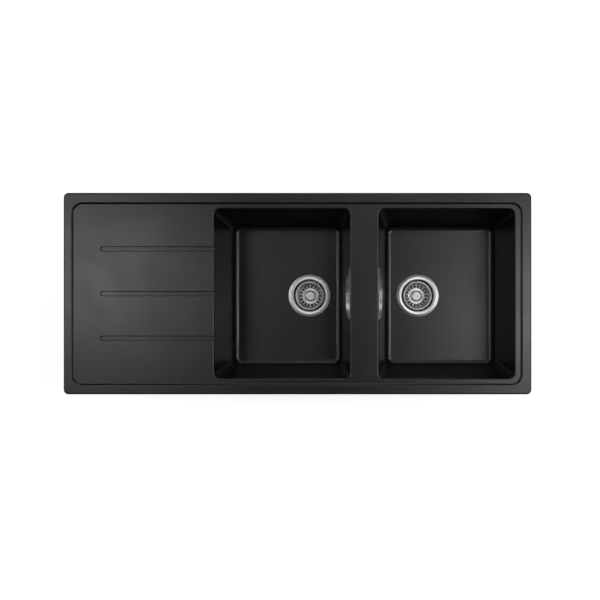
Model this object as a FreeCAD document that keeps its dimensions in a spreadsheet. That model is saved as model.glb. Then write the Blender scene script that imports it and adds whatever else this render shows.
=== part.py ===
import FreeCAD
import Part

import math
import os
import re

from FreeCAD import Rotation, Vector
from Sketcher import Constraint

# A double bowl kitchen sink with a drainer, cast in black composite.
# Origin: middle of the outline, in the plane of the worktop it lies on.
# X runs from the drainer to the right-hand bowl, Y to the back, Z up.

# driving sizes, in millimetres and degrees
SIZES = {
    # the casting, seen from above
    "outline_length": 1160,
    "outline_width": 500,
    "outline_corner": 12,
    "rim_left": 21.4,
    "rim_right": 24.3,
    "rim_back": 26,
    "rim_front": 24.8,
    "recess_corner": 25,
    "right_land": 16.2,
    "bowl_length": 338,
    "bowl_width": 422,
    "divider": 71.3,
    "draft": 7.5,
    # the casting, in height
    "rim_height": 9,
    "recess_depth": 6,
    "deck_thickness": 10,
    "bowl_depth": 200,
    "wall": 9,
    "floor_thickness": 10,
    "seat_width": 14,
    # its roundings
    "rim_round": 4,
    "step_round": 2.9,
    "edge_round": 3.5,
    "corner_round": 16,
    "foot_corner_round": 20,
    "floor_round": 14,
    # drainer grooves
    "groove_width": 10,
    "groove_pitch": 111,
    "groove_start": 69.6,
    "groove_end_round": 4.6,
    "groove_depth": 3.4,
    "groove_fall": 0.45,
    "groove_round": 1.6,
    # waste holes
    "waste_offset": 110.5,
    "waste_hole": 45,
    "seat_radius": 58.5,
    "seat_depth": 2,
    # overflow niche in the divider wall of each bowl
    "niche_radius": 64,
    "niche_bottom": 75,
    "niche_boss": 12,
    "overflow_drop": 38,
    "overflow_hole": 16,
    # sealing strip in the rim's underside
    "strip_width": 6,
    "strip_thickness": 2,
    "strip_inset": 4,
    "strip_corner": 4,
    # clips that hold the sink down
    "worktop": 38,
    "clip_side": 10,
    "clip_pitch": 330,
    "clip_boss": 9,
    "clip_boss_drop": 12,
    "clip_insert": 5,
    "clip_insert_length": 9,
    "clip_screw": 3,
    "clip_head": 6,
    "clip_head_height": 4,
    "clip_spacer": 7,
    "clip_width": 16,
    "clip_plate": 2,
    "clip_reach": 27,
    "clip_lip": 4,
    "clip_play": 0.05,
    # strainer, gaskets and waste body
    "sheet": 1,
    "flange_radius": 57,
    "flange_rise": 1.6,
    "flange_round": 1.4,
    "flange_flat": 4,
    "flange_crown": 7,
    "gasket": 1,
    "gasket_radius": 55,
    "cup_radius": 43.2,
    "cup_depth": 46,
    "cup_neck": 36,
    "cup_cone": 6,
    "cup_bottom": 58,
    "drain_hole": 4.5,
    "drain_circle": 21,
    "drain_holes": 9,
    "under_seal": 3,
    "body_flange": 4,
    "body_flange_radius": 58,
    "body_radius": 46,
    "body_wall": 3,
    "body_depth": 66,
    "outlet_radius": 23.9,
    "outlet_bore": 19.5,
    "outlet_length": 25,
    "outlet_cone": 18,
    "hub_radius": 10,
    "hub_length": 24,
    "hub_rib": 3,
    "bolt_radius": 6,
    "bolt_head": 9,
    "bolt_head_height": 4,
    "bolt_length": 26,
    "bolt_insert_wall": 2.5,
    # basket, its knob and its stopper
    "basket_rim": 38.2,
    "basket_rim_width": 2.8,
    "basket_rim_height": 2,
    "basket_drop": 3,
    "basket_depth": 47,
    "basket_taper": 31,
    "basket_floor": 22,
    "basket_corner": 7,
    "basket_slots": 18,
    "slot_width": 4,
    "slot_inner": 21.5,
    "slot_outer": 30.3,
    "knob_radius": 16,
    "knob_height": 9,
    "knob_edge": 3,
    "knob_top": 11,
    "knob_round": 3,
    "grip_width": 9,
    "grip_length": 5.6,
    "grip_depth": 4.5,
    "grip_bar": 2.6,
    "stem_radius": 4,
    "stem_length": 18,
    "collar_radius": 5,
    "catch_radius": 7,
    "catch_thickness": 2,
    "carrier_radius": 12,
    "carrier_thickness": 3,
    "seal_thickness": 2,
    # overflow fittings
    "cover_plate": 1,
    "cover_proud": 1.5,
    "cover_holes": 6,
    "cover_hole": 3.4,
    "cover_hole_circle": 10,
    "screw_radius": 2.5,
    "screw_head": 5,
    "screw_head_height": 2.4,
    "screw_length": 30,
    "elbow_gasket": 2,
    "elbow_flange": 25,
    "elbow_flange_thickness": 3,
    "elbow_radius": 15,
    "elbow_depth": 22,
    "elbow_wall": 2.5,
    "elbow_drop": 26,
    "pipe_radius": 9,
    "pipe_wall": 1.5,
    "pipe_bend": 45,
    "pipe_entry": 12,
    "port_wall": 1.8,
    "port_reach": 66,
    "port_drop": 45,
    "nut_wall": 2.5,
    "nut_lip": 2,
    "nut_length": 12,
    # clearances
    "slip": 0.3,
    "running": 0.05,
}

# places worked out from the sizes
PLACES = {
    "left_end": "-outline_length / 2",
    "right_end": "outline_length / 2",
    "front_end": "-outline_width / 2",
    "back_end": "outline_width / 2",
    "deck_top": "rim_height - recess_depth",
    "deck_under": "rim_height - recess_depth - deck_thickness",
    "right_bowl_right": "outline_length / 2 - rim_right - right_land",
    "right_bowl_left": "outline_length / 2 - rim_right - right_land - bowl_length",
    "left_bowl_right": "outline_length / 2 - rim_right - right_land - bowl_length - divider",
    "left_bowl_left": "outline_length / 2 - rim_right - right_land - 2 * bowl_length - divider",
    "floor_top": "rim_height - bowl_depth",
    "floor_under": "rim_height - bowl_depth - floor_thickness",
    "seat_level": "rim_height - bowl_depth - seat_depth",
    "left_waste": "left_bowl_right - waste_offset",
    "right_waste": "right_bowl_left + waste_offset",
    "niche_level": "deck_top - niche_bottom + niche_radius",
    "overflow_level": "deck_top - overflow_drop",
    "under_level": "floor_under - seat_level",
    "body_top": "under_level - under_seal",
    "hub_top": "-cup_bottom - sheet",
    "clip_row": "outline_width / 2 - seat_width - clip_side",
    "clip_level": "-worktop - clip_lip",
    "carrier_top": "-basket_depth - sheet - slip",
    "carrier_bottom": "-basket_depth - sheet - slip - carrier_thickness",
    "socket_bottom": "-basket_depth - sheet - slip - carrier_thickness - stem_length - 1",
    "pipe_axis": "wall + elbow_gasket + elbow_depth / 2",
    "port_radius": "pipe_radius + running + port_wall",
    "port_level": "seat_level - port_drop",
}

SIDES = ("left", "right")
CLIP_STEPS = (-1.5, -0.5, 0.5, 1.5)
CLIP_PLACES = [("%s * clip_pitch" % step, row) for row in ("clip_row", "-clip_row") for step in CLIP_STEPS]

DOC = FreeCAD.newDocument("DoubleBowlSink")
SHEET = DOC.addObject("Spreadsheet::Sheet", "Sizes")
PIECES = []


def fill_sheet():
    rows = list(SIZES.items()) + [(name, "=" + text) for name, text in PLACES.items()]
    for row, (name, content) in enumerate(rows, start=1):
        SHEET.set("A%d" % row, name)
        SHEET.set("B%d" % row, str(content))
        SHEET.setAlias("B%d" % row, name)
    DOC.recompute()


def formula(text):
    """An expression that names sizes, with each name looked up in the sheet."""

    def looked_up(word):
        name = word.group(0)
        return "Sizes." + name if name in SIZES or name in PLACES else name

    return re.sub(r"[a-z]\w+", looked_up, str(text))


def number(text):
    """What such an expression comes to now."""
    value = SHEET.evalExpression(formula(text))
    return float(getattr(value, "Value", value))


def bind(thing, **properties):
    for name, text in properties.items():
        thing.setExpression(name, formula(text))


def new_body(label, x="0", y="0", z="0", turn=0):
    body = DOC.addObject("PartDesign::Body", label)
    body.Label = label
    body.Placement.Rotation = Rotation(Vector(0, 0, 1), turn)
    for axis, text in zip("xyz", (x, y, z)):
        body.setExpression("Placement.Base." + axis, formula(text))
    PIECES.append(body)
    return body


def new_sketch(body, plane="XY", height="0"):
    """A sketch on one of the body's origin planes, raised along the plane's normal."""
    sketch = body.newObject("Sketcher::SketchObject", body.Name + "_sketch")
    support = [f for f in body.Origin.OriginFeatures if f.Role == plane + "_Plane"][0]
    sketch.AttachmentSupport = (support, "")
    sketch.MapMode = "FlatFace"
    sketch.setExpression("AttachmentOffset.Base.z", formula(height))
    return sketch


def place_point(sketch, geometry, end, x, y):
    """Ties a point of the sketch to its two coordinates."""
    for kind, axis, text in (("DistanceX", -2, x), ("DistanceY", -1, y)):
        value = number(text)
        if abs(value) < 1e-9:
            sketch.addConstraint(Constraint("PointOnObject", geometry, end, axis))
        else:
            index = sketch.addConstraint(Constraint(kind, -1, 1, geometry, end, value))
            sketch.setExpression("Constraints[%d]" % index, formula(text))


def draw_outline(sketch, corners):
    """A closed outline through corners (x, y) or (x, y, rounding), each an expression."""
    spots = [Vector(number(c[0]), number(c[1]), 0) for c in corners]
    rounds = [number(c[2]) if len(c) > 2 else 0 for c in corners]
    count = len(corners)
    starts, ends = [], []
    for i, spot in enumerate(spots):
        back = (spots[i - 1] - spot).normalize()
        ahead = (spots[(i + 1) % count] - spot).normalize()
        cut = rounds[i] / math.tan(back.getAngle(ahead) / 2) if rounds[i] else 0
        ends.append(spot + back * cut)
        starts.append(spot + ahead * cut)
    lines = []
    for i in range(count):
        segment = Part.LineSegment(starts[i], ends[(i + 1) % count])
        lines.append(sketch.addGeometry(segment, False))
    for i, corner in enumerate(corners):
        before, after = lines[i - 1], lines[i]
        if not rounds[i]:
            sketch.addConstraint(Constraint("Coincident", before, 2, after, 1))
            place_point(sketch, after, 1, corner[0], corner[1])
            continue
        spot = spots[i]
        inward = (ends[i] - spot).normalize() + (starts[i] - spot).normalize()
        inward.normalize()
        reach = math.hypot(rounds[i], (ends[i] - spot).Length)
        middle = spot + inward * (reach - rounds[i])
        arc = sketch.addGeometry(Part.Arc(ends[i], middle, starts[i]), False)
        first, last = sketch.getPoint(arc, 1), sketch.getPoint(arc, 2)
        swapped = (first - ends[i]).Length > (last - ends[i]).Length
        arc_in, arc_out = (2, 1) if swapped else (1, 2)
        tip = sketch.addGeometry(Part.Point(spot), True)
        place_point(sketch, tip, 1, corner[0], corner[1])
        sketch.addConstraint(Constraint("PointOnObject", tip, 1, before))
        sketch.addConstraint(Constraint("PointOnObject", tip, 1, after))
        sketch.addConstraint(Constraint("Tangent", before, 2, arc, arc_in))
        sketch.addConstraint(Constraint("Tangent", arc, arc_out, after, 1))
        index = sketch.addConstraint(Constraint("Radius", arc, rounds[i]))
        sketch.setExpression("Constraints[%d]" % index, formula(corner[2]))


def draw_box(sketch, left, right, front, back, rounding=None):
    corners = [(left, front), (right, front), (right, back), (left, back)]
    if rounding:
        corners = [corner + (rounding,) for corner in corners]
    draw_outline(sketch, corners)


def draw_circle(sketch, radius, x="0", y="0"):
    centre = Vector(number(x), number(y), 0)
    circle = Part.Circle(centre, Vector(0, 0, 1), number(radius))
    index = sketch.addGeometry(circle, False)
    place_point(sketch, index, 3, x, y)
    constraint = sketch.addConstraint(Constraint("Radius", index, circle.Radius))
    sketch.setExpression("Constraints[%d]" % constraint, formula(radius))


def draw_ring(sketch, outer, inner, x="0", y="0"):
    draw_circle(sketch, outer, x, y)
    draw_circle(sketch, inner, x, y)


def draw_dee(sketch, radius, centre, top):
    """A half disc below the centre with straight sides up to the top, as (y, z)."""
    size, middle, height = number(radius), number(centre), number(top)
    axis = Part.Circle(Vector(0, middle, 0), Vector(0, 0, 1), size)
    arc = sketch.addGeometry(Part.ArcOfCircle(axis, math.pi, 2 * math.pi), False)
    right = sketch.addGeometry(Part.LineSegment(Vector(size, middle, 0), Vector(size, height, 0)))
    lid = sketch.addGeometry(Part.LineSegment(Vector(size, height, 0), Vector(-size, height, 0)))
    left = sketch.addGeometry(Part.LineSegment(Vector(-size, height, 0), Vector(-size, middle, 0)))
    place_point(sketch, arc, 3, "0", centre)
    for kind, *ends in (
        ("Tangent", arc, 2, right, 1),
        ("Coincident", right, 2, lid, 1),
        ("Coincident", lid, 2, left, 1),
        ("Tangent", left, 2, arc, 1),
        ("Vertical", right),
        ("Horizontal", lid),
    ):
        sketch.addConstraint(Constraint(kind, *ends))
    rounding = sketch.addConstraint(Constraint("Radius", arc, size))
    sketch.setExpression("Constraints[%d]" % rounding, formula(radius))
    rise = sketch.addConstraint(Constraint("DistanceY", -1, 1, lid, 1, height))
    sketch.setExpression("Constraints[%d]" % rise, formula(top))


def check_made(feature):
    """Recomputes and stops at a feature that can't be made."""
    DOC.recompute()
    if "Invalid" in feature.State or "Error" in feature.State:
        raise RuntimeError("%s: %s" % (feature.Name, feature.getStatusString()))


def extrude(kind, body, sketch, length=None, upward=False, taper=None, middle=False):
    """A Pad or a Pocket of the sketch. Pads go along the sketch's normal when upward."""
    feature = body.newObject("PartDesign::" + kind, body.Name + "_" + kind.lower())
    feature.Profile = sketch
    feature.Reversed = upward if kind == "Pocket" else not upward
    if length is None:
        feature.Type = "ThroughAll"
    else:
        bind(feature, Length=length)
    if taper:
        bind(feature, TaperAngle=taper)
    if middle:
        feature.Midplane = True
    check_made(feature)
    return feature


def pad(body, sketch, length, upward=True, **more):
    return extrude("Pad", body, sketch, length, upward, **more)


def pocket(body, sketch, length=None, upward=False, **more):
    """A cut that goes against the sketch's normal, or along it when upward."""
    base = body.Tip.Shape
    feature = extrude("Pocket", body, sketch, length, upward, **more)
    removed = feature.AddSubShape.copy()
    removed.Placement = feature.Placement.multiply(removed.Placement)
    if base.common(removed).Volume < 0.001:
        raise RuntimeError(body.Label + ": a pocket cuts nothing")
    return feature


def revolve(body, corners, kind="Revolution"):
    """A full turn about the body's Z axis of a profile given as (radius, height)."""
    sketch = new_sketch(body, "XZ")
    draw_outline(sketch, corners)
    feature = body.newObject("PartDesign::" + kind, body.Name + "_" + kind.lower())
    feature.Profile = sketch
    feature.ReferenceAxis = (sketch, ["V_Axis"])
    feature.Angle = 360
    check_made(feature)
    return feature


def repeat(body, feature, sketch, count):
    """Copies of a feature, evenly spaced about the normal through its sketch's origin."""
    pattern = body.newObject("PartDesign::PolarPattern", body.Name + "_pattern")
    pattern.Originals = [feature]
    pattern.Axis = (sketch, ["N_Axis"])
    pattern.Angle = 360
    bind(pattern, Occurrences=count)
    body.Tip = pattern
    check_made(pattern)
    return pattern


def round_edges(body, radius, wanted):
    """Rounds every edge of the body, in its own frame, for which wanted(edge) holds."""
    base = body.Tip
    names = ["Edge%d" % (i + 1) for i, edge in enumerate(base.Shape.Edges) if wanted(edge)]
    if not names:
        raise RuntimeError(body.Label + ": no edge to round")
    fillet = body.newObject("PartDesign::Fillet", body.Name + "_fillet")
    fillet.Base = (base, names)
    bind(fillet, Radius=radius)
    body.Tip = fillet
    check_made(fillet)
    return fillet


def level(edge, height):
    """Whether the whole edge lies at one height."""
    box = edge.BoundBox
    return abs(box.ZMin - height) < 0.01 and abs(box.ZMax - height) < 0.01


def sink_body():
    body = new_body("sink_body")
    rim = new_sketch(body)
    draw_box(rim, "left_end", "right_end", "front_end", "back_end", "outline_corner")
    pad(body, rim, "rim_height")
    round_edges(body, "rim_round", lambda edge: level(edge, number("rim_height")))

    deck = new_sketch(body)
    draw_box(
        deck,
        "left_end + seat_width",
        "right_end - seat_width",
        "front_end + seat_width",
        "back_end - seat_width",
        "outline_corner",
    )
    pad(body, deck, "-deck_under", upward=False)
    for side in SIDES:
        bowl_shell(body, side)
        overflow_boss(body, side)
    clip_bosses(body)
    sink_recess(body)
    strip_groove(body)
    for side in SIDES:
        bowl_hollow(body, side)
    drainer_grooves(body)
    for side in SIDES:
        overflow_niche(body, side)
    overflow_holes(body)
    waste_seats(body)


def bowl_loft(body, side, kind, top, bottom, margin):
    """A drafted block or hollow of one bowl, with corners that widen towards its foot."""
    sketches = []
    for height, corner in ((top, "corner_round"), (bottom, "foot_corner_round")):
        inset = "(deck_top - (%s)) * tan(draft) - (%s)" % (height, margin)
        sketch = new_sketch(body, height=height)
        draw_box(
            sketch,
            "%s_bowl_left + %s" % (side, inset),
            "%s_bowl_right - (%s)" % (side, inset),
            "-bowl_width / 2 + " + inset,
            "bowl_width / 2 - (%s)" % inset,
            corner,
        )
        sketches.append(sketch)
    loft = body.newObject("PartDesign::" + kind, body.Name + "_bowl")
    loft.Profile = sketches[0]
    loft.Sections = [sketches[1]]
    loft.Ruled = True
    check_made(loft)


def round_floor(body, side, margin, bottom):
    """Rounds the edge between a bowl's walls and its floor."""
    low_x = number(side + "_bowl_left") - margin
    high_x = number(side + "_bowl_right") + margin
    height = number(bottom)

    def around_floor(edge):
        box = edge.BoundBox
        return level(edge, height) and box.XMin > low_x and box.XMax < high_x

    round_edges(body, "floor_round", around_floor)


def bowl_shell(body, side):
    """The outside of one bowl: drafted walls, floor and rounded edges."""
    bowl_loft(body, side, "AdditiveLoft", "deck_under", "floor_under", "wall")
    round_floor(body, side, number("wall"), "floor_under")


def sink_recess(body):
    """The sunken deck inside the raised rim, with its S-shaped step."""
    sketch = new_sketch(body, height="rim_height")
    draw_box(
        sketch,
        "left_end + rim_left",
        "right_end - rim_right",
        "front_end + rim_front",
        "back_end - rim_back",
        "recess_corner",
    )
    pocket(body, sketch, "recess_depth")
    inner = number("outline_width / 2 - rim_back") + 0.1
    high, low = number("rim_height"), number("deck_top")

    def inside(edge):
        return abs(edge.CenterOfMass.y) < inner and edge.BoundBox.YMax < inner

    round_edges(body, "step_round", lambda e: (level(e, high) or level(e, low)) and inside(e))


def bowl_hollow(body, side):
    """The inside of one bowl, drafted like the outside."""
    bowl_loft(body, side, "SubtractiveLoft", "deck_top", "floor_top", "0")
    round_floor(body, side, 0, "floor_top")
    low_x, high_x = number(side + "_bowl_left") - 1, number(side + "_bowl_right") + 1
    top = number("deck_top")

    def mouth(edge):
        box = edge.BoundBox
        return level(edge, top) and box.XMin > low_x and box.XMax < high_x

    round_edges(body, "edge_round", mouth)


def divider_edge(side):
    """The x of the bowl's edge at the divider, and the way the divider lies from it."""
    return ("left_bowl_right", 1) if side == "left" else ("right_bowl_left", -1)


def overflow_boss(body, side):
    """The thicker wall behind the overflow niche."""
    edge, way = divider_edge(side)
    sketch = new_sketch(body, "YZ", "%s + %d * wall" % (edge, way))
    draw_dee(sketch, "niche_radius + niche_boss", "niche_level", "deck_under + 1")
    pad(body, sketch, "wall + niche_bottom * tan(draft)", upward=way < 0)


def overflow_niche(body, side):
    """The flat-backed recess in the drafted wall."""
    edge, way = divider_edge(side)
    niche = new_sketch(body, "YZ", edge)
    draw_dee(niche, "niche_radius", "niche_level", "deck_top + 1")
    pocket(body, niche, "2 * niche_bottom * tan(draft)", upward=way < 0)


def overflow_holes(body):
    """One bore across the divider, which opens both overflow niches."""
    hole = new_sketch(body, "YZ", "left_bowl_right")
    draw_circle(hole, "overflow_hole", "0", "overflow_level")
    pocket(body, hole, "divider", upward=True)


def waste_seats(body):
    """The recesses that the strainers' flanges lie in, and the holes for their cups."""
    for radius, depth in (("seat_radius", "seat_depth"), ("waste_hole", "floor_thickness + 1")):
        sketch = new_sketch(body, height="floor_top")
        for side in SIDES:
            draw_circle(sketch, radius, side + "_waste")
        pocket(body, sketch, depth)


def drainer_grooves(body):
    """Three grooves that fall towards the left-hand bowl and run out over its edge."""
    sketch = new_sketch(body)
    start = "left_end + rim_left + groove_start"
    sketch.AttachmentOffset.Rotation = Rotation(Vector(0, 1, 0), number("groove_fall"))
    sketch.setExpression("AttachmentOffset.Rotation.Angle", formula("groove_fall"))
    sketch.setExpression("AttachmentOffset.Base.x", formula(start))
    sketch.setExpression("AttachmentOffset.Base.z", formula("deck_top - groove_depth"))
    length = "left_bowl_left + edge_round + 2 - (%s)" % start
    for row in (-1, 0, 1):
        front = "%d * groove_pitch - groove_width / 2" % row
        back = "%d * groove_pitch + groove_width / 2" % row
        corners = [(length, front), (length, back)]
        corners += [("0", back, "groove_end_round"), ("0", front, "groove_end_round")]
        draw_outline(sketch, corners)
    pocket(body, sketch, "deck_thickness", upward=True)
    low_x, high_x = number(start) - 1, number("left_bowl_left")

    def lip(edge):
        box = edge.BoundBox
        return level(edge, number("deck_top")) and box.XMin > low_x and box.XMax < high_x

    round_edges(body, "groove_round", lip)


def draw_strip(sketch):
    """The two outlines of the sealing strip."""
    for inset, corner in (
        ("strip_inset", "strip_corner + strip_width"),
        ("(strip_inset + strip_width)", "strip_corner"),
    ):
        draw_box(
            sketch,
            "left_end + " + inset,
            "right_end - " + inset,
            "front_end + " + inset,
            "back_end - " + inset,
            corner,
        )


def strip_groove(body):
    sketch = new_sketch(body)
    draw_strip(sketch)
    pocket(body, sketch, "strip_thickness", upward=True)


def rim_seal():
    body = new_body("rim_seal")
    sketch = new_sketch(body)
    draw_strip(sketch)
    pad(body, sketch, "strip_thickness")


def clip_sketch(body, height, *radii):
    """Circles of the given radii at every clip, in one sketch."""
    sketch = new_sketch(body, height=height)
    for x, y in CLIP_PLACES:
        for radius in radii:
            draw_circle(sketch, radius, x, y)
    return sketch


def clip_bosses(body):
    """Bosses under the deck, with a blind hole for the threaded insert of each clip."""
    bosses = clip_sketch(body, "deck_under", "clip_boss")
    pad(body, bosses, "clip_boss_drop", upward=False)
    holes = clip_sketch(body, "deck_under - clip_boss_drop", "clip_insert")
    pocket(body, holes, "clip_insert_length", upward=True)


def clip_inserts():
    body = new_body("clip_inserts")
    rings = clip_sketch(body, "deck_under - clip_boss_drop", "clip_insert", "clip_screw + clip_play")
    pad(body, rings, "clip_insert_length")


def clip_spacers():
    body = new_body("clip_spacers")
    rings = clip_sketch(body, "deck_under - clip_boss_drop", "clip_spacer", "clip_screw + clip_play")
    pad(body, rings, "deck_under - clip_boss_drop - clip_level - clip_play", upward=False)


def clip_screws():
    body = new_body("clip_screws")
    under_plate = "clip_level - clip_plate - clip_play"
    shafts = clip_sketch(body, under_plate, "clip_screw")
    pad(body, shafts, "deck_under - clip_boss_drop + clip_insert_length - 1 - (%s)" % under_plate)
    heads = new_sketch(body, height=under_plate)
    for x, y in CLIP_PLACES:
        corners = []
        for turn in range(0, 360, 60):
            corners.append(
                ("%s + clip_head * cos(%d)" % (x, turn), "%s + clip_head * sin(%d)" % (y, turn))
            )
        draw_outline(heads, corners)
    pad(body, heads, "clip_head_height", upward=False)


def clip(index, x, y):
    """A swivel clip, turned in along the edge of the sink."""
    outward = 0 if y == "clip_row" else 180
    body = new_body("clip_%d" % index, x, y, "clip_level", turn=outward)
    profile = new_sketch(body, "XZ")
    draw_outline(
        profile,
        [
            ("-clip_width / 2", "-clip_plate"),
            ("clip_reach", "-clip_plate"),
            ("clip_reach", "clip_lip - slip"),
            ("clip_reach - clip_plate", "clip_lip - slip"),
            ("clip_reach - clip_plate", "0"),
            ("-clip_width / 2", "0"),
        ],
    )
    pad(body, profile, "clip_width", middle=True)
    hole = new_sketch(body)
    draw_circle(hole, "clip_screw + clip_play")
    pocket(body, hole, "2 * clip_plate")
    back = -number("clip_width / 2")
    round_edges(
        body,
        "clip_width / 2 - 1",
        lambda e: e.BoundBox.XMax < back + 0.01 and e.BoundBox.YLength < 0.01,
    )


def at_waste(label, side, turn=0):
    """A body whose origin is on the waste's axis, in the plane of its seat."""
    return new_body(label + "_" + side, side + "_waste", "0", "seat_level", turn)


def ring(body, inner, outer, bottom, top):
    return revolve(body, [(inner, bottom), (outer, bottom), (outer, top), (inner, top)])


def flange_gasket(side):
    ring(at_waste("flange_gasket", side), "waste_hole", "gasket_radius", "0", "gasket")


def body_seal(side):
    body = at_waste("body_seal", side)
    ring(body, "waste_hole", "body_flange_radius - 2", "body_top", "under_level")


def strainer_cup(side):
    """The pressed flange and cup, with its drain holes."""
    body = at_waste("strainer_cup", side)
    crown = "cup_radius + flange_crown"
    revolve(
        body,
        [
            ("flange_radius", "gasket"),
            ("flange_radius", "gasket + sheet", "sheet * 0.6"),
            (crown, "gasket + sheet + flange_rise", "flange_crown"),
            ("cup_radius", "gasket + sheet + flange_rise * 0.7", "flange_round"),
            ("cup_radius", "-cup_depth"),
            ("cup_neck", "-cup_depth - cup_cone"),
            ("cup_neck", "-cup_bottom"),
            ("bolt_radius + running", "-cup_bottom"),
            ("bolt_radius + running", "-cup_bottom - sheet"),
            ("cup_neck + sheet", "-cup_bottom - sheet"),
            ("cup_neck + sheet", "-cup_depth - cup_cone - sheet / 2"),
            ("cup_radius + sheet", "-cup_depth - sheet / 2"),
            ("cup_radius + sheet", "gasket + flange_rise / 2"),
            (crown, "gasket + flange_rise"),
            ("flange_radius - flange_flat", "gasket"),
        ],
    )
    hole = new_sketch(body, height="-cup_bottom")
    draw_circle(hole, "drain_hole", "drain_circle")
    cut = pocket(body, hole, "2 * sheet")
    repeat(body, cut, hole, "drain_holes")


def waste_body(side):
    """The moulded body under the bowl: hub for the bolt, outlet thread, overflow port."""
    body = at_waste("waste_body", side, turn=0 if side == "left" else 180)
    skirt = "body_radius + body_wall"
    cone_end = "-body_depth - outlet_cone"
    revolve(
        body,
        [
            ("body_radius", "body_top"),
            ("body_flange_radius", "body_top"),
            ("body_flange_radius", "body_top - body_flange"),
            (skirt, "body_top - body_flange"),
            (skirt, "-body_depth"),
            ("outlet_radius", cone_end),
            ("outlet_radius", cone_end + " - outlet_length"),
            ("outlet_bore", cone_end + " - outlet_length"),
            ("outlet_bore", cone_end),
            ("body_radius", "-body_depth"),
        ],
    )
    rib = new_sketch(body, height="hub_top")
    draw_box(rib, "hub_radius / 2", "body_radius + body_wall / 2", "-hub_rib / 2", "hub_rib / 2")
    spoke = pad(body, rib, "body_depth + hub_top", upward=False)
    repeat(body, spoke, rib, "3")
    hub = new_sketch(body, height="hub_top")
    draw_circle(hub, "hub_radius")
    pad(body, hub, "hub_length", upward=False)
    bore = new_sketch(body, height="hub_top")
    draw_circle(bore, "bolt_radius + running + bolt_insert_wall")
    pocket(body, bore, "hub_length + 1")
    port = new_sketch(body, "YZ", "body_radius + body_wall / 4")
    draw_circle(port, "port_radius", "0", "-port_drop")
    pad(body, port, "port_reach - body_radius - body_wall / 4")
    entry = new_sketch(body, "YZ", "port_reach")
    draw_circle(entry, "pipe_radius + running", "0", "-port_drop")
    pocket(body, entry, "pipe_entry")
    way = new_sketch(body, "YZ", "port_reach")
    draw_circle(way, "pipe_radius - pipe_wall", "0", "-port_drop")
    pocket(body, way, "port_reach - body_radius / 2")


def centre_bolt(side):
    """The clamping bolt, hollow at its head for the stopper's stem."""
    body = at_waste("centre_bolt", side)
    end = "-cup_bottom - bolt_length"
    revolve(
        body,
        [
            ("0", end),
            ("bolt_radius", end),
            ("bolt_radius", "-cup_bottom"),
            ("bolt_head", "-cup_bottom"),
            ("bolt_head", "-cup_bottom + bolt_head_height"),
            ("stem_radius + running", "-cup_bottom + bolt_head_height"),
            ("stem_radius + running", "socket_bottom"),
            ("0", "socket_bottom"),
        ],
    )


def bolt_insert(side):
    """The threaded brass insert in the hub, with its collar under it."""
    body = at_waste("bolt_insert", side)
    bore = "bolt_radius + running"
    outer = bore + " + bolt_insert_wall"
    bottom = "hub_top - hub_length"
    revolve(
        body,
        [
            (bore, "hub_top"),
            (outer, "hub_top"),
            (outer, bottom),
            ("hub_radius", bottom),
            ("hub_radius", bottom + " - 2"),
            (bore, bottom + " - 2"),
        ],
    )


def stopper_spindle(side):
    """The stem that carries the stopper, with the catch that holds the basket on it."""
    body = at_waste("stopper_spindle", side)
    catch = "-basket_depth + slip"
    tip = "carrier_bottom - stem_length"
    revolve(
        body,
        [
            ("0", tip),
            ("stem_radius", tip),
            ("stem_radius", "carrier_bottom"),
            ("carrier_radius", "carrier_bottom"),
            ("carrier_radius", "carrier_top"),
            ("collar_radius", "carrier_top"),
            ("collar_radius", catch),
            ("catch_radius", catch),
            ("catch_radius", catch + " + catch_thickness"),
            ("0", catch + " + catch_thickness"),
        ],
    )


def cone_radius(height):
    """The cup's inner radius at a height on its cone."""
    return "cup_radius - (cup_radius - cup_neck) * (-(%s) - cup_depth) / cup_cone" % height


def stopper_seal(side):
    """The rubber disc that closes the cup's cone."""
    body = at_waste("stopper_seal", side)
    top = "carrier_bottom + seal_thickness"
    revolve(
        body,
        [
            ("carrier_radius", "carrier_bottom"),
            (cone_radius("carrier_bottom") + " - 2 * slip", "carrier_bottom"),
            (cone_radius(top) + " - 2 * slip", top),
            ("carrier_radius", top),
        ],
    )


def basket(side, turn):
    """The pressed basket with its rolled rim and the slots round its lower corner."""
    body = at_waste("basket", side, turn)
    lip = "basket_rim - basket_rim_width"
    floor, corner = "-basket_depth", "-basket_depth + basket_corner"
    revolve(
        body,
        [
            ("basket_rim", "-basket_drop - basket_rim_height", "sheet * 0.6"),
            ("basket_rim", "-basket_drop", "sheet * 0.9"),
            (lip, "-basket_drop", "sheet * 0.9"),
            ("basket_taper", corner, "basket_corner / 2"),
            ("basket_floor", floor, "basket_corner / 2"),
            ("collar_radius + running", floor),
            ("collar_radius + running", floor + " - sheet"),
            ("basket_floor", floor + " - sheet", "basket_corner / 2 + sheet"),
            ("basket_taper + sheet", corner + " - sheet / 2", "basket_corner / 2 + sheet"),
            (lip + " + sheet", "-basket_drop - basket_rim_height"),
        ],
    )
    slot = new_sketch(body, height=floor + " - 2 * sheet")
    rounding = "slot_width * 0.45"
    draw_box(slot, "slot_inner", "slot_outer", "-slot_width / 2", "slot_width / 2", rounding)
    cut = pocket(body, slot, "basket_corner + 2 * sheet", upward=True)
    repeat(body, cut, slot, "basket_slots")


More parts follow.
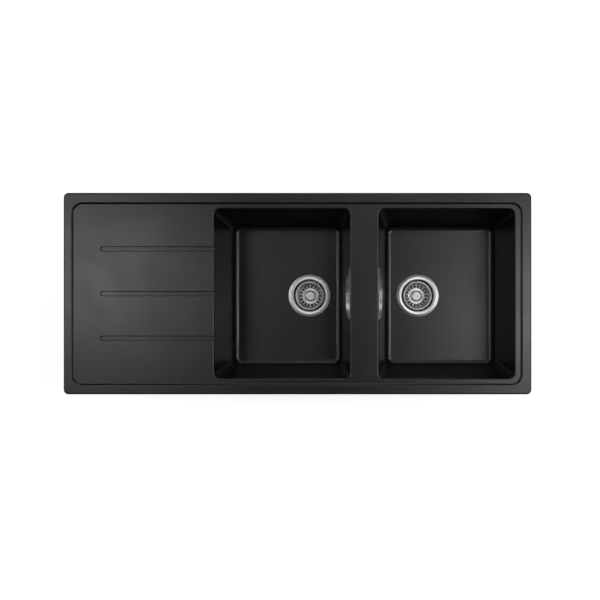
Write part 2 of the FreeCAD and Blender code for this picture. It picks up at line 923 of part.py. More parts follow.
def basket_knob(side, turn):
    """The low knob on the basket's floor, with two finger recesses and a bar between."""
    body = at_waste("basket_knob", side, turn)
    floor = "-basket_depth"
    hollow = floor + " + catch_thickness + 2 * slip"
    hollow_radius = "catch_radius + slip"
    revolve(
        body,
        [
            (hollow_radius, floor),
            ("knob_radius", floor),
            ("knob_radius", floor + " + knob_edge", "knob_edge / 2"),
            ("knob_top", floor + " + knob_height", "knob_round"),
            ("0", floor + " + knob_height"),
            ("0", hollow),
            (hollow_radius, hollow),
        ],
    )
    grips = new_sketch(body, height=floor + " + knob_height")
    near, far = "grip_bar / 2", "(grip_bar / 2 + grip_length)"
    half = "grip_width / 2"
    draw_box(grips, near, far, "-" + half, half, "grip_width / 5")
    draw_box(grips, "-" + far, "-" + near, "-" + half, half, "grip_width / 5")
    pocket(body, grips, "grip_depth")


def at_overflow(label, side):
    """A body at the overflow hole, with X pointing from the bowl into the divider."""
    edge, way = divider_edge(side)
    return new_body(label + "_" + side, edge, "0", "overflow_level", 0 if way > 0 else 180)


def overflow_cover(side):
    """The half-round steel cover: a pierced back plate with a lip round its lower edge."""
    body = at_overflow("overflow_cover", side)
    centre = "niche_level - overflow_level"
    top = "deck_top - overflow_level - edge_round - 2"
    radius = "niche_radius - slip"
    reach = "cover_proud + niche_bottom * tan(draft) + 2"
    outer = new_sketch(body, "YZ")
    draw_dee(outer, radius, centre, top)
    pad(body, outer, reach, upward=False)
    inner = new_sketch(body, "YZ", "-cover_plate")
    draw_dee(inner, radius + " - cover_plate", centre, top + " + 1")
    pocket(body, inner, reach)
    high, low = "deck_top - overflow_level", "deck_top - overflow_level - niche_bottom - 1"
    front = "-cover_proud - (%s) * tan(draft)"
    wedge = new_sketch(body, "XZ")
    draw_outline(
        wedge,
        [
            (front % "0", high),
            (front % "niche_bottom + 1", low),
            ("-3 * (%s)" % reach, low),
            ("-3 * (%s)" % reach, high),
        ],
    )
    pocket(body, wedge, "3 * niche_radius", middle=True)
    hole = new_sketch(body, "YZ")
    draw_circle(hole, "cover_hole", "0", "cover_hole_circle")
    cut = pocket(body, hole, "cover_plate + 1")
    repeat(body, cut, hole, "cover_holes")
    centre_hole = new_sketch(body, "YZ")
    draw_circle(centre_hole, "screw_radius + running")
    pocket(body, centre_hole, "cover_plate + 1")


def overflow_screw(side):
    body = at_overflow("overflow_screw", side)
    shaft = new_sketch(body, "YZ", "-cover_plate")
    draw_circle(shaft, "screw_radius")
    pad(body, shaft, "screw_length")
    head = new_sketch(body, "YZ", "-cover_plate")
    draw_circle(head, "screw_head")
    pad(body, head, "screw_head_height", upward=False)
    face = -number("cover_plate + screw_head_height")
    round_edges(body, "screw_head_height / 2", lambda e: e.BoundBox.XMax < face + 0.01)


def overflow_gasket(side):
    body = at_overflow("overflow_gasket", side)
    sketch = new_sketch(body, "YZ", "wall")
    draw_ring(sketch, "elbow_flange - 1", "elbow_radius - elbow_wall")
    pad(body, sketch, "elbow_gasket")


def overflow_elbow(side):
    """The chamber behind the overflow hole, with a spigot for the pipe."""
    body = at_overflow("overflow_elbow", side)
    face = "wall + elbow_gasket"
    inner = "elbow_radius - elbow_wall"
    flange = new_sketch(body, "YZ", face)
    draw_circle(flange, "elbow_flange")
    pad(body, flange, "elbow_flange_thickness")
    chamber = new_sketch(body, "YZ", face)
    draw_circle(chamber, "elbow_radius")
    pad(body, chamber, "elbow_depth")
    spigot = new_sketch(body)
    draw_circle(spigot, "port_radius", "pipe_axis")
    pad(body, spigot, "elbow_drop", upward=False)
    hollow = new_sketch(body, "YZ", face)
    draw_circle(hollow, inner)
    pocket(body, hollow, "elbow_depth - elbow_wall", upward=True)
    way = new_sketch(body, height="-elbow_drop")
    draw_circle(way, "pipe_radius - pipe_wall", "pipe_axis")
    pocket(body, way, "elbow_drop", upward=True)
    entry = new_sketch(body, height="-elbow_drop")
    draw_circle(entry, "pipe_radius + running", "pipe_axis")
    pocket(body, entry, "pipe_entry", upward=True)
    post = new_sketch(body, "YZ", face)
    draw_circle(post, "2 * screw_radius")
    pad(body, post, "elbow_depth - elbow_wall / 2")
    thread = new_sketch(body, "YZ", face)
    draw_circle(thread, "screw_radius + running")
    pocket(body, thread, "elbow_depth - elbow_wall", upward=True)


def overflow_pipe(side):
    """The rigid pipe from the overflow's spigot round to the waste body's port."""
    body = at_overflow("overflow_pipe", side)
    top = "-elbow_drop + pipe_entry"
    level_now = "port_level - overflow_level"
    end = "-waste_offset + port_reach - pipe_entry"
    profile = new_sketch(body, height=top)
    draw_ring(profile, "pipe_radius", "pipe_radius - pipe_wall", "pipe_axis")
    path = new_sketch(body, "XZ")
    draw_bend(path, ("pipe_axis", top), ("pipe_axis", level_now), (end, level_now), "pipe_bend")
    pipe = body.newObject("PartDesign::AdditivePipe", body.Name + "_pipe")
    pipe.Profile = profile
    pipe.Spine = (path, ["Edge1", "Edge2", "Edge3"])
    check_made(pipe)


def draw_bend(sketch, start, corner, end, radius):
    """Two runs that meet at a right-angled corner, joined by an arc."""
    first = Vector(number(start[0]), number(start[1]), 0)
    tip = Vector(number(corner[0]), number(corner[1]), 0)
    last = Vector(number(end[0]), number(end[1]), 0)
    size = number(radius)
    back, ahead = (first - tip).normalize(), (last - tip).normalize()
    turn_in, turn_out = tip + back * size, tip + ahead * size
    middle = tip + (back + ahead) * size * (1 - math.sqrt(0.5))
    run = sketch.addGeometry(Part.LineSegment(first, turn_in))
    arc = sketch.addGeometry(Part.Arc(turn_in, middle, turn_out))
    out = sketch.addGeometry(Part.LineSegment(turn_out, last))
    swapped = (sketch.getPoint(arc, 1) - turn_in).Length > 0.01
    arc_in, arc_out = (2, 1) if swapped else (1, 2)
    place_point(sketch, run, 1, *start)
    place_point(sketch, out, 2, *end)
    sketch.addConstraint(Constraint("Vertical", run))
    sketch.addConstraint(Constraint("Horizontal", out))
    sketch.addConstraint(Constraint("Tangent", run, 2, arc, arc_in))
    sketch.addConstraint(Constraint("Tangent", arc, arc_out, out, 1))
    index = sketch.addConstraint(Constraint("Radius", arc, size))
    sketch.setExpression("Constraints[%d]" % index, formula(radius))


def overflow_nut(side):
    """The nut that holds the pipe in the waste body's port."""
    body = at_waste("overflow_nut", side, turn=0 if side == "left" else 180)
    sleeve = new_sketch(body, "YZ", "port_reach - nut_length")
    outer = "port_radius + running + nut_wall"
    draw_ring(sleeve, outer, "port_radius + running", "0", "-port_drop")
    pad(body, sleeve, "nut_length")
    lip = new_sketch(body, "YZ", "port_reach")
    draw_ring(lip, outer, "pipe_radius + running", "0", "-port_drop")
    pad(body, lip, "nut_lip")


def waste(side, turn):
    flange_gasket(side)
    strainer_cup(side)
    body_seal(side)
    waste_body(side)
    centre_bolt(side)
    bolt_insert(side)
    stopper_spindle(side)
    stopper_seal(side)
    basket(side, turn)
    basket_knob(side, turn)


def overflow(side):
    overflow_cover(side)
    overflow_screw(side)
    overflow_gasket(side)
    overflow_elbow(side)
    overflow_pipe(side)
    overflow_nut(side)


def write_parts():
    """Checks every object and every piece, then writes one file for each piece."""
    DOC.recompute()
    for thing in DOC.Objects:
        if "Invalid" in thing.State or "Error" in thing.State:
            raise RuntimeError(thing.Name + " could not be made")
    for piece in PIECES:
        if piece.Shape.isNull() or not piece.Shape.isValid():
            raise RuntimeError(piece.Label + " has no valid shape")
    os.makedirs("parts", exist_ok=True)
    for piece in PIECES:
        piece.Shape.exportStep("parts/%s.step" % piece.Label)


fill_sheet()
sink_body()
rim_seal()
clip_inserts()
clip_spacers()
clip_screws()
for number_of_clip, (clip_x, clip_y) in enumerate(CLIP_PLACES, start=1):
    clip(number_of_clip, clip_x, clip_y)
for basket_side, basket_turn in zip(SIDES, (20, 80)):
    waste(basket_side, basket_turn)
    overflow(basket_side)
write_parts()
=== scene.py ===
import math

import bmesh
import bpy
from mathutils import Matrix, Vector


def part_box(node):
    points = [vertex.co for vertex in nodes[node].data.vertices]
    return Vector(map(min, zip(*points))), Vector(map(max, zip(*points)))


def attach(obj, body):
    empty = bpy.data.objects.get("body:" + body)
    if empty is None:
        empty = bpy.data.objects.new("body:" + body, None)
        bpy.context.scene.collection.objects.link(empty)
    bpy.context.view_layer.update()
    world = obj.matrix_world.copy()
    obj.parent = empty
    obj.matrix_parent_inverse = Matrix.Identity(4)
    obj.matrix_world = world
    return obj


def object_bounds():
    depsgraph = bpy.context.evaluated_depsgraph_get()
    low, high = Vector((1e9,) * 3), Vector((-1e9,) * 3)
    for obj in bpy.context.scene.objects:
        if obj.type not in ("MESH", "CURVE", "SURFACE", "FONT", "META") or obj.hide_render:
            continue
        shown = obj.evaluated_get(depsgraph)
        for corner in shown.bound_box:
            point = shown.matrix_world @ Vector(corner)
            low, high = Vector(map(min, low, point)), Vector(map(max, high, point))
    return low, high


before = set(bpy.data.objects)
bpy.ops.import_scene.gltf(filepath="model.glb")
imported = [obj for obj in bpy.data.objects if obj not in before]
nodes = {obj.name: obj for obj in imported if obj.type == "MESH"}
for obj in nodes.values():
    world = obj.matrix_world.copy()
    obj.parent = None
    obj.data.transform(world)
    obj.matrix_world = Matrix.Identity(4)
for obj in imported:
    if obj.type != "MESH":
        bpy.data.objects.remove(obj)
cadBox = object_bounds()
print("stage: frame loaded,", len(nodes), "nodes")


# helpers for shader trees; a number or a name picks a socket, and links take another node's output
def addNode(tree, kind, values=None, links=None, **settings):
    node = tree.nodes.new(kind)
    for name, value in settings.items():
        setattr(node, name, value)
    for name, value in (values or {}).items():
        node.inputs[name].default_value = value
    for name, source in (links or {}).items():
        tree.links.new(source, node.inputs[name])
    return node


def math2(tree, operation, first, second=None):
    node = tree.nodes.new("ShaderNodeMath")
    node.operation = operation
    for index, value in enumerate((first, second)):
        if value is None:
            continue
        if isinstance(value, (int, float)):
            node.inputs[index].default_value = value
        else:
            tree.links.new(value, node.inputs[index])
    return node.outputs[0]


def mapRange(tree, value, low, high, toLow, toHigh):
    node = addNode(tree, "ShaderNodeMapRange", {1: low, 2: high, 3: toLow, 4: toHigh}, {0: value})
    return node.outputs[0]


def mixColor(tree, factor, first, second):
    node = tree.nodes.new("ShaderNodeMix")
    node.data_type = "RGBA"
    for index, value in ((0, factor), (6, first), (7, second)):
        if isinstance(value, bpy.types.NodeSocket):
            tree.links.new(value, node.inputs[index])
        else:
            node.inputs[index].default_value = value
    return node.outputs[2]


def grey(value):
    return (value, value, value, 1.0)


def makeGroup(name, inputs, outputs):
    group = bpy.data.node_groups.new(name, "ShaderNodeTree")
    for label, kind, value in inputs:
        socket = group.interface.new_socket(label, in_out="INPUT", socket_type=kind)
        if value is not None:
            socket.default_value = value
    for label, kind in outputs:
        group.interface.new_socket(label, in_out="OUTPUT", socket_type=kind)
    return group, group.nodes.new("NodeGroupInput").outputs, group.nodes.new("NodeGroupOutput").inputs


floatKind = "NodeSocketFloat"
vectorKind = "NodeSocketVector"


# shared effects: each puts out masks and heights only
grainShape = {
    "fleckRim": 0.55, "fleckCore": 0.3,  # in cells, from a fleck's middle
    "fineScale": 0.8, "fineDetail": 3.0, "fineRoughness": 0.6,
    "cloudScale": 7.0, "cloudDetail": 4.0, "cloudRoughness": 0.62, "cloudDistortion": 0.4,
    "cloudLow": 0.3, "cloudHigh": 0.7,
}


def makeGrainField(form):
    tree, given, result = makeGroup(
        "grainField",
        [
            ("Position", vectorKind, None),
            ("Grain size", floatKind, 0.001),
            ("Fleck share", floatKind, 0.1),
        ],
        [("Fleck", floatKind), ("Height", floatKind), ("Cloud", floatKind)],
    )
    scale = math2(tree, "DIVIDE", 1.0, given["Grain size"])
    cells = addNode(tree, "ShaderNodeTexVoronoi", None, {"Vector": given["Position"], "Scale": scale})
    split = addNode(tree, "ShaderNodeSeparateColor", None, {"Color": cells.outputs["Color"]})
    picked = math2(tree, "LESS_THAN", split.outputs[0], given["Fleck share"])
    strength = math2(tree, "MULTIPLY", picked, split.outputs[1])
    core = mapRange(tree, cells.outputs["Distance"], form["fleckRim"], form["fleckCore"], 0.0, 1.0)
    tree.links.new(math2(tree, "MULTIPLY", strength, core), result["Fleck"])
    fine = addNode(
        tree, "ShaderNodeTexNoise",
        {"Detail": form["fineDetail"], "Roughness": form["fineRoughness"]},
        {"Vector": given["Position"], "Scale": math2(tree, "MULTIPLY", scale, form["fineScale"])},
    )
    tree.links.new(fine.outputs[0], result["Height"])
    broad = addNode(
        tree, "ShaderNodeTexNoise",
        {
            "Scale": form["cloudScale"], "Detail": form["cloudDetail"],
            "Roughness": form["cloudRoughness"], "Distortion": form["cloudDistortion"],
        },
        {"Vector": given["Position"]},
    )
    cloud = mapRange(tree, broad.outputs[0], form["cloudLow"], form["cloudHigh"], 0.0, 1.0)
    tree.links.new(cloud, result["Cloud"])
    return tree


turnedShape = {"scale": 4.0, "detail": 3.0, "roughness": 0.7, "low": 0.3, "high": 0.7}


def makeRoundMarks(form):
    tree, given, result = makeGroup(
        "roundMarks",
        [("Generated", vectorKind, None), ("Rings", floatKind, 60.0), ("Break up", floatKind, 2.0)],
        [("Lines", floatKind)],
    )
    centred = addNode(
        tree, "ShaderNodeVectorMath", {1: (0.5, 0.5, 0.5)}, {0: given["Generated"]},
        operation="SUBTRACT",
    )
    axes = addNode(tree, "ShaderNodeSeparateXYZ", None, {0: centred.outputs[0]})
    squareX = math2(tree, "POWER", axes.outputs[0], 2.0)
    squareY = math2(tree, "POWER", axes.outputs[1], 2.0)
    radius = math2(tree, "SQRT", math2(tree, "ADD", squareX, squareY))
    angle = math2(tree, "ARCTAN2", axes.outputs[1], axes.outputs[0])
    place = addNode(
        tree, "ShaderNodeCombineXYZ", None,
        {
            0: math2(tree, "MULTIPLY", radius, given["Rings"]),
            1: math2(tree, "MULTIPLY", angle, given["Break up"]),
            2: math2(tree, "MULTIPLY", axes.outputs[2], given["Rings"]),
        },
    )
    lines = addNode(
        tree, "ShaderNodeTexNoise",
        {"Scale": form["scale"], "Detail": form["detail"], "Roughness": form["roughness"]},
        {"Vector": place.outputs[0]},
    )
    tree.links.new(mapRange(tree, lines.outputs[0], form["low"], form["high"], 0.0, 1.0), result["Lines"])
    return tree


brushedShape = {"scale": 1.0, "detail": 3.0, "roughness": 0.7, "low": 0.3, "high": 0.7}
scuffShape = {"scale": 55.0, "detail": 6.0, "roughness": 0.7, "low": 0.48, "high": 0.72}


def makeLineMarks(lineForm, scuffForm):
    tree, given, result = makeGroup(
        "lineMarks",
        [("Position", vectorKind, None), ("Frequency", vectorKind, None)],
        [("Lines", floatKind), ("Scuffs", floatKind)],
    )
    stretched = addNode(
        tree, "ShaderNodeVectorMath", None, {0: given["Position"], 1: given["Frequency"]},
        operation="MULTIPLY",
    )
    for label, place, form in (
        ("Lines", stretched.outputs[0], lineForm),
        ("Scuffs", given["Position"], scuffForm),
    ):
        noise = addNode(
            tree, "ShaderNodeTexNoise",
            {"Scale": form["scale"], "Detail": form["detail"], "Roughness": form["roughness"]},
            {"Vector": place},
        )
        tree.links.new(mapRange(tree, noise.outputs[0], form["low"], form["high"], 0.0, 1.0), result[label])
    return tree


# painted highlight: the base colour is lightened along edges, found where the bevelled and the plain normal
# part
edgeHighlightShape = {"samples": 4, "flat": 0.995, "sharp": 0.85}  # how far the bevelled and the plain normal agree


def makePaintedEdgeHighlight(form):
    tree, given, result = makeGroup("paintedEdgeHighlight", [("Width", floatKind, 0.0006)], [("Mask", floatKind)])
    bent = addNode(tree, "ShaderNodeBevel", None, {"Radius": given["Width"]}, samples=form["samples"])
    plain = addNode(tree, "ShaderNodeNewGeometry")
    agree = addNode(
        tree, "ShaderNodeVectorMath", None, {0: bent.outputs[0], 1: plain.outputs["Normal"]},
        operation="DOT_PRODUCT",
    )
    mask = mapRange(tree, agree.outputs["Value"], form["flat"], form["sharp"], 0.0, 1.0)
    tree.links.new(mask, result["Mask"])
    return tree


grainField = makeGrainField(grainShape)
roundMarks = makeRoundMarks(turnedShape)
lineMarks = makeLineMarks(brushedShape, scuffShape)
paintedEdgeHighlight = makePaintedEdgeHighlight(edgeHighlightShape)
print("stage: shared effects made")


# materials
def newMaterial(name):
    material = bpy.data.materials.new(name)
    material.use_nodes = True
    tree = material.node_tree
    tree.nodes.clear()
    surface = tree.nodes.new("ShaderNodeBsdfPrincipled")
    output = tree.nodes.new("ShaderNodeOutputMaterial")
    tree.links.new(surface.outputs[0], output.inputs["Surface"])
    return material, tree, surface


def useGroup(tree, group, values=None, links=None):
    node = addNode(tree, "ShaderNodeGroup", node_tree=group)
    for name, value in (values or {}).items():
        node.inputs[name].default_value = value
    for name, source in (links or {}).items():
        tree.links.new(source, node.inputs[name])
    return node.outputs


def linkRoughness(tree, surface, base, masks):
    rough = None
    for mask, amount in masks:
        part = math2(tree, "MULTIPLY", mask, amount)
        rough = part if rough is None else math2(tree, "ADD", rough, part)
    tree.links.new(math2(tree, "ADD", rough, base), surface.inputs["Roughness"])


def addBump(tree, surface, height, depth, strength=1.0):
    bump = addNode(tree, "ShaderNodeBump", {"Strength": strength, "Distance": depth}, {"Height": height})
    tree.links.new(bump.outputs[0], surface.inputs["Normal"])


composite = {
    "dark": 0.0028, "cloudy": 0.0045, "fleck": 0.035,
    "grainSize": 0.0011, "fleckShare": 0.16,
    "roughness": 0.32, "cloudRoughness": 0.05, "fleckRoughness": 0.1,
    "grainDepth": 0.00003, "index": 1.52,
}


def makeComposite(look):
    material, tree, surface = newMaterial("composite")
    place = addNode(tree, "ShaderNodeTexCoord").outputs["Object"]
    grain = useGroup(
        tree, grainField, {"Grain size": look["grainSize"], "Fleck share": look["fleckShare"]},
        {"Position": place},
    )
    ground = mixColor(tree, grain["Cloud"], grey(look["dark"]), grey(look["cloudy"]))
    speckled = mixColor(tree, grain["Fleck"], ground, grey(look["fleck"]))
    tree.links.new(speckled, surface.inputs["Base Color"])
    masks = ((grain["Cloud"], look["cloudRoughness"]), (grain["Fleck"], look["fleckRoughness"]))
    linkRoughness(tree, surface, look["roughness"], masks)
    surface.inputs["IOR"].default_value = look["index"]
    addBump(tree, surface, grain["Height"], look["grainDepth"])
    return material


ringSteel = {
    "strainer_steel": {
        "color": 0.82, "shade": 0.62, "roughness": 0.36, "rings": 70.0, "grain": 0.45, "depth": 0.00002,
    },
    "knob_steel": {
        "color": 0.9, "shade": 0.74, "roughness": 0.4, "rings": 40.0, "grain": 0.3, "depth": 0.00002,
    },
    "bolt_steel": {
        "color": 0.6, "shade": 0.5, "roughness": 0.25, "rings": 30.0, "grain": 0.4, "depth": 0.00001,
    },
}
turned = {"scuffFrequency": 900.0, "lineRoughness": 0.1, "scuffRoughness": 0.08, "bump": 0.6}


def makeRingSteel(name, look):
    material, tree, surface = newMaterial(name)
    place = addNode(tree, "ShaderNodeTexCoord")
    marks = useGroup(
        tree, roundMarks, {"Rings": look["rings"]}, {"Generated": place.outputs["Generated"]}
    )
    scuffs = useGroup(
        tree, lineMarks, {"Frequency": (turned["scuffFrequency"],) * 3},
        {"Position": place.outputs["Object"]},
    )
    tone = mixColor(tree, marks["Lines"], grey(look["shade"]), grey(look["color"]))
    tree.links.new(tone, surface.inputs["Base Color"])
    surface.inputs["Metallic"].default_value = 1.0
    masks = ((marks["Lines"], turned["lineRoughness"]), (scuffs["Scuffs"], turned["scuffRoughness"]))
    linkRoughness(tree, surface, look["roughness"], masks)
    surface.inputs["Anisotropic"].default_value = look["grain"]
    tangent = addNode(tree, "ShaderNodeTangent", direction_type="RADIAL", axis="Z")
    tree.links.new(tangent.outputs[0], surface.inputs["Tangent"])
    addBump(tree, surface, marks["Lines"], look["depth"], turned["bump"])
    return material


lineSteel = {
    "cover_steel": {
        "color": (0.6, 0.6, 0.6), "shade": (0.42, 0.42, 0.42), "roughness": 0.3,
        "frequency": (2500.0, 60.0, 2500.0), "depth": 0.00002,
    },
    "zinc_steel": {
        "color": (0.52, 0.52, 0.52), "shade": (0.36, 0.36, 0.36), "roughness": 0.38,
        "frequency": (300.0, 300.0, 300.0), "depth": 0.00002,
    },
    "brass": {
        "color": (0.72, 0.5, 0.22), "shade": (0.5, 0.33, 0.13), "roughness": 0.3,
        "frequency": (400.0, 400.0, 2500.0), "depth": 0.00002,
    },
}
# the edge colour and share below paint a highlight along the steel parts' edges
brushed = {
    "edgeWidth": 0.0006, "edgeColor": 0.8, "edgeShare": 0.5,
    "lineRoughness": 0.12, "scuffRoughness": 0.15, "bump": 0.6,
}


def makeLineSteel(name, look):
    material, tree, surface = newMaterial(name)
    place = addNode(tree, "ShaderNodeTexCoord")
    marks = useGroup(
        tree, lineMarks, {"Frequency": look["frequency"]}, {"Position": place.outputs["Object"]}
    )
    # painted highlight along edges, mixed into the base colour
    highlightedEdges = useGroup(tree, paintedEdgeHighlight, {"Width": brushed["edgeWidth"]})
    tone = mixColor(tree, marks["Lines"], (*look["shade"], 1.0), (*look["color"], 1.0))
    edge = math2(tree, "MULTIPLY", highlightedEdges["Mask"], brushed["edgeShare"])
    tone = mixColor(tree, edge, tone, grey(brushed["edgeColor"]))
    tree.links.new(tone, surface.inputs["Base Color"])
    surface.inputs["Metallic"].default_value = 1.0
    masks = ((marks["Lines"], brushed["lineRoughness"]), (marks["Scuffs"], brushed["scuffRoughness"]))
    linkRoughness(tree, surface, look["roughness"], masks)
    addBump(tree, surface, marks["Lines"], look["depth"], brushed["bump"])
    return material


# each finish's edge colour is a painted highlight along the parts' edges
moulded = {
    "black_rubber": {
        "color": (0.014, 0.014, 0.014), "pale": (0.03, 0.03, 0.029), "roughness": 0.62,
        "grain": 0.0009, "depth": 0.00005, "edge": 0.05,
    },
    "foam_rubber": {
        "color": (0.03, 0.03, 0.03), "pale": (0.06, 0.06, 0.058), "roughness": 0.9,
        "grain": 0.0014, "depth": 0.0004, "edge": 0.08,
    },
    "clip_plastic": {
        "color": (0.03, 0.03, 0.031), "pale": (0.055, 0.055, 0.055), "roughness": 0.42,
        "grain": 0.0006, "depth": 0.00004, "edge": 0.12,
    },
    "stem_plastic": {
        "color": (0.6, 0.6, 0.57), "pale": (0.72, 0.72, 0.69), "roughness": 0.4,
        "grain": 0.0007, "depth": 0.00003, "edge": 0.8,
    },
    "waste_plastic": {
        "color": (0.68, 0.68, 0.655), "pale": (0.78, 0.78, 0.755), "roughness": 0.45,
        "grain": 0.0008, "depth": 0.00005, "edge": 0.85,
    },
    "nut_plastic": {
        "color": (0.055, 0.055, 0.06), "pale": (0.085, 0.085, 0.09), "roughness": 0.45,
        "grain": 0.0007, "depth": 0.00005, "edge": 0.16,
    },
}
# the edge width and share below set the painted highlight along edges
flow = {
    "fleckShare": 0.3, "frequency": (260.0, 260.0, 40.0),
    "edgeWidth": 0.0005, "edgeShare": 0.6, "lineRoughness": 0.06, "scuffRoughness": 0.12,
}


def makeMoulded(name, look):
    material, tree, surface = newMaterial(name)
    place = addNode(tree, "ShaderNodeTexCoord").outputs["Object"]
    grain = useGroup(
        tree, grainField, {"Grain size": look["grain"], "Fleck share": flow["fleckShare"]},
        {"Position": place},
    )
    marks = useGroup(tree, lineMarks, {"Frequency": flow["frequency"]}, {"Position": place})
    # painted highlight along edges, mixed into the base colour
    highlightedEdges = useGroup(tree, paintedEdgeHighlight, {"Width": flow["edgeWidth"]})
    tone = mixColor(tree, grain["Cloud"], (*look["color"], 1.0), (*look["pale"], 1.0))
    edge = math2(tree, "MULTIPLY", highlightedEdges["Mask"], flow["edgeShare"])
    tree.links.new(mixColor(tree, edge, tone, grey(look["edge"])), surface.inputs["Base Color"])
    masks = ((marks["Lines"], flow["lineRoughness"]), (marks["Scuffs"], flow["scuffRoughness"]))
    linkRoughness(tree, surface, look["roughness"], masks)
    addBump(tree, surface, grain["Height"], look["depth"])
    return material


finishes = {"composite": makeComposite(composite)}
for finishName, look in ringSteel.items():
    finishes[finishName] = makeRingSteel(finishName, look)
for finishName, look in lineSteel.items():
    finishes[finishName] = makeLineSteel(finishName, look)
for finishName, look in moulded.items():
    finishes[finishName] = makeMoulded(finishName, look)

nodeFinish = {  # start of a node's name -> its finish; the first that fits is used
    "sink_body": "composite",
    "rim_seal": "foam_rubber",
    "clip_inserts": "brass", "clip_screws": "zinc_steel", "clip_spacers": "clip_plastic",
    "clip_": "zinc_steel",
    "strainer_cup": "strainer_steel", "basket_knob": "knob_steel", "basket_": "strainer_steel",
    "flange_gasket": "black_rubber", "body_seal": "black_rubber", "overflow_gasket": "black_rubber",
    "stopper_seal": "black_rubber", "stopper_spindle": "stem_plastic",
    "waste_body": "waste_plastic", "centre_bolt": "bolt_steel", "bolt_insert": "brass",
    "overflow_cover": "cover_steel", "overflow_screw": "bolt_steel",
    "overflow_elbow": "waste_plastic", "overflow_pipe": "waste_plastic", "overflow_nut": "nut_plastic",
}
for nodeName, node in nodes.items():
    start = next(key for key in nodeFinish if nodeName.startswith(key))
    node.data.materials.clear()
    node.data.materials.append(finishes[nodeFinish[start]])
print("stage: materials on the CAD nodes")


# fine shapes on the pieces under the bowls; they ride the body that those pieces belong to
def addPiece(name, shape, finish, body):
    mesh = bpy.data.meshes.new(name)
    bmesh.ops.recalc_face_normals(shape, faces=shape.faces)
    shape.to_mesh(mesh)
    shape.free()
    mesh.materials.append(finishes[finish])
    piece = bpy.data.objects.new(name, mesh)
    bpy.context.scene.collection.objects.link(piece)
    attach(piece, body)
    return piece


# a rib's section as shares of its width and height, and its swell along its length
ribSection = ((-0.5, -0.3), (-0.5, 0.45), (-0.25, 1.0), (0.25, 1.0), (0.5, 0.45), (0.5, -0.3))
ribSwell = ((0.0, 0.05), (0.06, 1.0), (0.94, 1.0), (1.0, 0.05))


def addRib(shape, start, along, outward, look):
    across = along.cross(outward)
    rows = []
    for share, swell in ribSwell:
        foot = start + along * (look["length"] * share)
        row = []
        for side, rise in ribSection:
            offset = across * (side * look["width"]) + outward * (rise * swell * look["height"])
            row.append(shape.verts.new(foot + offset))
        rows.append(row)
    for lower, upper in zip(rows, rows[1:]):
        for index in range(len(ribSection)):
            after = (index + 1) % len(ribSection)
            shape.faces.new((lower[index], lower[after], upper[after], upper[index]))
    shape.faces.new(rows[0])
    shape.faces.new(rows[-1])


def middle(nodeName):
    low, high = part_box(nodeName)
    return (Vector(low) + Vector(high)) / 2


outletThread = {
    "radius": 0.0239, "depth": 0.0005, "pitch": 0.00231, "length": 0.0235, "lead": 0.0008, "steps": 56,
}
threadSection = ((0.04, False), (0.4, True), (0.6, True), (0.96, False))  # share of the pitch, on the crest
threadSink = 0.3  # how far a thread's foot lies inside the tube, as a share of its depth


def makeOutletThread(side, look):
    axis = middle("centre_bolt_" + side)
    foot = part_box("waste_body_" + side)[0][2] + look["lead"]
    shape = bmesh.new()
    count = int((look["length"] / look["pitch"] - 1.0) * look["steps"])
    rows = []
    for step in range(count + 1):
        angle = 2.0 * math.pi * step / look["steps"]
        swell = min(1.0, step / look["steps"], (count - step) / look["steps"])
        row = []
        for rise, onCrest in threadSection:
            radius = look["radius"] + look["depth"] * (swell if onCrest else -threadSink)
            height = foot + look["pitch"] * (step / look["steps"] + rise)
            x = axis.x + radius * math.cos(angle)
            y = axis.y + radius * math.sin(angle)
            row.append(shape.verts.new((x, y, height)))
        rows.append(row)
    for lower, upper in zip(rows, rows[1:]):
        for index in range(len(threadSection) - 1):
            shape.faces.new((lower[index], upper[index], upper[index + 1], lower[index + 1]))
    piece = addPiece("outlet_thread_" + side, shape, "waste_plastic", "sink")
    piece.data.shade_smooth()


bodyRibs = {
    "radius": 0.049, "count": 18, "length": 0.044, "width": 0.0026, "height": 0.0012,
    "belowTop": 0.0045, "clearOfPort": 35.0,  # degrees to each side of the overflow port
}


def makeBodyRibs(side, look):
    axis = middle("centre_bolt_" + side)
    towardsPort = 0.0 if side == "left" else 180.0
    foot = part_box("waste_body_" + side)[1][2] - look["belowTop"] - look["length"]
    shape = bmesh.new()
    for index in range(look["count"]):
        turn = 360.0 * (index + 0.5) / look["count"]
        if abs((turn - towardsPort + 180.0) % 360.0 - 180.0) < look["clearOfPort"]:
            continue
        outward = Vector((math.cos(math.radians(turn)), math.sin(math.radians(turn)), 0.0))
        start = Vector((axis.x, axis.y, foot)) + outward * look["radius"]
        addRib(shape, start, Vector((0.0, 0.0, 1.0)), outward, look)
    addPiece("body_ribs_" + side, shape, "waste_plastic", "sink")


nutRibs = {"radius": 0.0134, "count": 20, "length": 0.0105, "width": 0.0016, "height": 0.0008}


def makeNutRibs(side, look):
    low, high = (Vector(corner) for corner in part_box("overflow_nut_" + side))
    centre = (low + high) / 2
    shape = bmesh.new()
    for index in range(look["count"]):
        turn = 2.0 * math.pi * index / look["count"]
        outward = Vector((0.0, math.cos(turn), math.sin(turn)))
        start = Vector((centre.x - look["length"] / 2, centre.y, centre.z)) + outward * look["radius"]
        addRib(shape, start, Vector((1.0, 0.0, 0.0)), outward, look)
    addPiece("nut_ribs_" + side, shape, "nut_plastic", "sink")


for side in ("left", "right"):
    makeOutletThread(side, outletThread)
    makeBodyRibs(side, bodyRibs)
    makeNutRibs(side, nutRibs)
print("stage: fine shapes made")


# camera, straight above, as in the photograph
view = {"place": (0.14, -0.058, 2.178), "lens": 52.55, "sensor": 36.0, "shift": (-0.09, 0.0283)}
cameraData = bpy.data.cameras.new("camera")
cameraData.sensor_width = view["sensor"]
cameraData.lens = view["lens"]
cameraData.shift_x, cameraData.shift_y = view["shift"]
camera = bpy.data.objects.new("camera", cameraData)
camera.location = view["place"]
bpy.context.scene.collection.objects.link(camera)
bpy.context.scene.camera = camera

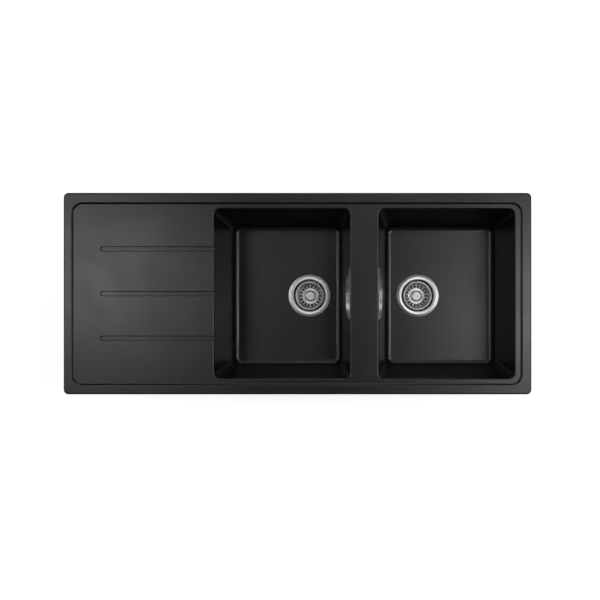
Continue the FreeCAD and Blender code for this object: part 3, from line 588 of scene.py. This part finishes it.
# soft studio light: each panel faces the sink
aimPoint = (0.1, 0.0, 0.0)
wattsPerRadiance = 4.0  # for each square metre of a panel
panels = {
    "leftPanel": {"place": (-1.42, 0.2, 3.0), "size": (0.6, 0.8), "radiance": 7.6},
    "rightPanel": {"place": (1.58, -0.05, 3.0), "size": (0.6, 1.1), "radiance": 10.8},
    "topPanel": {"place": (0.2, 0.95, 3.0), "size": (0.5, 0.4), "radiance": 3.4},
    "leftWall": {"place": (-2.5, 0.0, 1.5), "size": (1.4, 1.4), "radiance": 1.2},
    "backWall": {"place": (0.1, 2.6, 1.4), "size": (1.6, 1.6), "radiance": 1.8},
    "rightWall": {"place": (2.8, 0.0, 1.4), "size": (1.6, 1.6), "radiance": 0.9},
    "frontWall": {"place": (0.1, -2.6, 1.4), "size": (1.6, 1.6), "radiance": 0.2},
}
for panelName, panel in panels.items():
    lamp = bpy.data.lights.new(panelName, "AREA")
    lamp.shape = "RECTANGLE"
    lamp.size, lamp.size_y = panel["size"]
    lamp.energy = panel["radiance"] * wattsPerRadiance * lamp.size * lamp.size_y
    lampObject = bpy.data.objects.new(panelName, lamp)
    lampObject.location = panel["place"]
    aim = Vector(aimPoint) - lampObject.location
    lampObject.rotation_euler = aim.to_track_quat("-Z", "Y").to_euler()
    bpy.context.scene.collection.objects.link(lampObject)

# world: pure white to the camera, a dim even room for everything else
room = {"brightness": 0.02}
world = bpy.data.worlds.new("room")
bpy.context.scene.world = world
world.use_nodes = True
worldTree = world.node_tree
worldTree.nodes.clear()
ray = addNode(worldTree, "ShaderNodeLightPath")
white = addNode(worldTree, "ShaderNodeBackground", {"Color": grey(1.0), "Strength": 1.0})
dim = addNode(worldTree, "ShaderNodeBackground", {"Color": grey(1.0), "Strength": room["brightness"]})
blend = addNode(
    worldTree, "ShaderNodeMixShader", None,
    {0: ray.outputs["Is Camera Ray"], 1: dim.outputs[0], 2: white.outputs[0]},
)
addNode(worldTree, "ShaderNodeOutputWorld", None, {0: blend.outputs[0]})

# floor: reads white, with the sink's faint shadow
floorLook = {"glow": 0.74, "albedo": 0.75, "roughness": 0.9, "reach": 40.0, "gap": 0.002}
floorMesh = bpy.data.meshes.new("floor")
floorLevel = cadBox[0][2] - floorLook["gap"]
corners = [
    (x * floorLook["reach"], y * floorLook["reach"], floorLevel)
    for x, y in ((-1, -1), (1, -1), (1, 1), (-1, 1))
]
floorMesh.from_pydata(corners, [], [(0, 1, 2, 3)])
floor = bpy.data.objects.new("floor", floorMesh)
bpy.context.scene.collection.objects.link(floor)
floorMaterial, floorTree, floorSurface = newMaterial("floor")
floorSurface.inputs["Base Color"].default_value = grey(floorLook["albedo"])
floorSurface.inputs["Roughness"].default_value = floorLook["roughness"]
floorSurface.inputs["Specular IOR Level"].default_value = 0.0
floorRay = addNode(floorTree, "ShaderNodeLightPath")
floorSurface.inputs["Emission Color"].default_value = grey(1.0)
floorGlow = math2(floorTree, "MULTIPLY", floorRay.outputs["Is Camera Ray"], floorLook["glow"])
floorTree.links.new(floorGlow, floorSurface.inputs["Emission Strength"])
floorMesh.materials.append(floorMaterial)
bpy.context.scene.view_settings.view_transform = "Standard"
print("stage: camera, light and floor set")

bpy.context.view_layer.update()
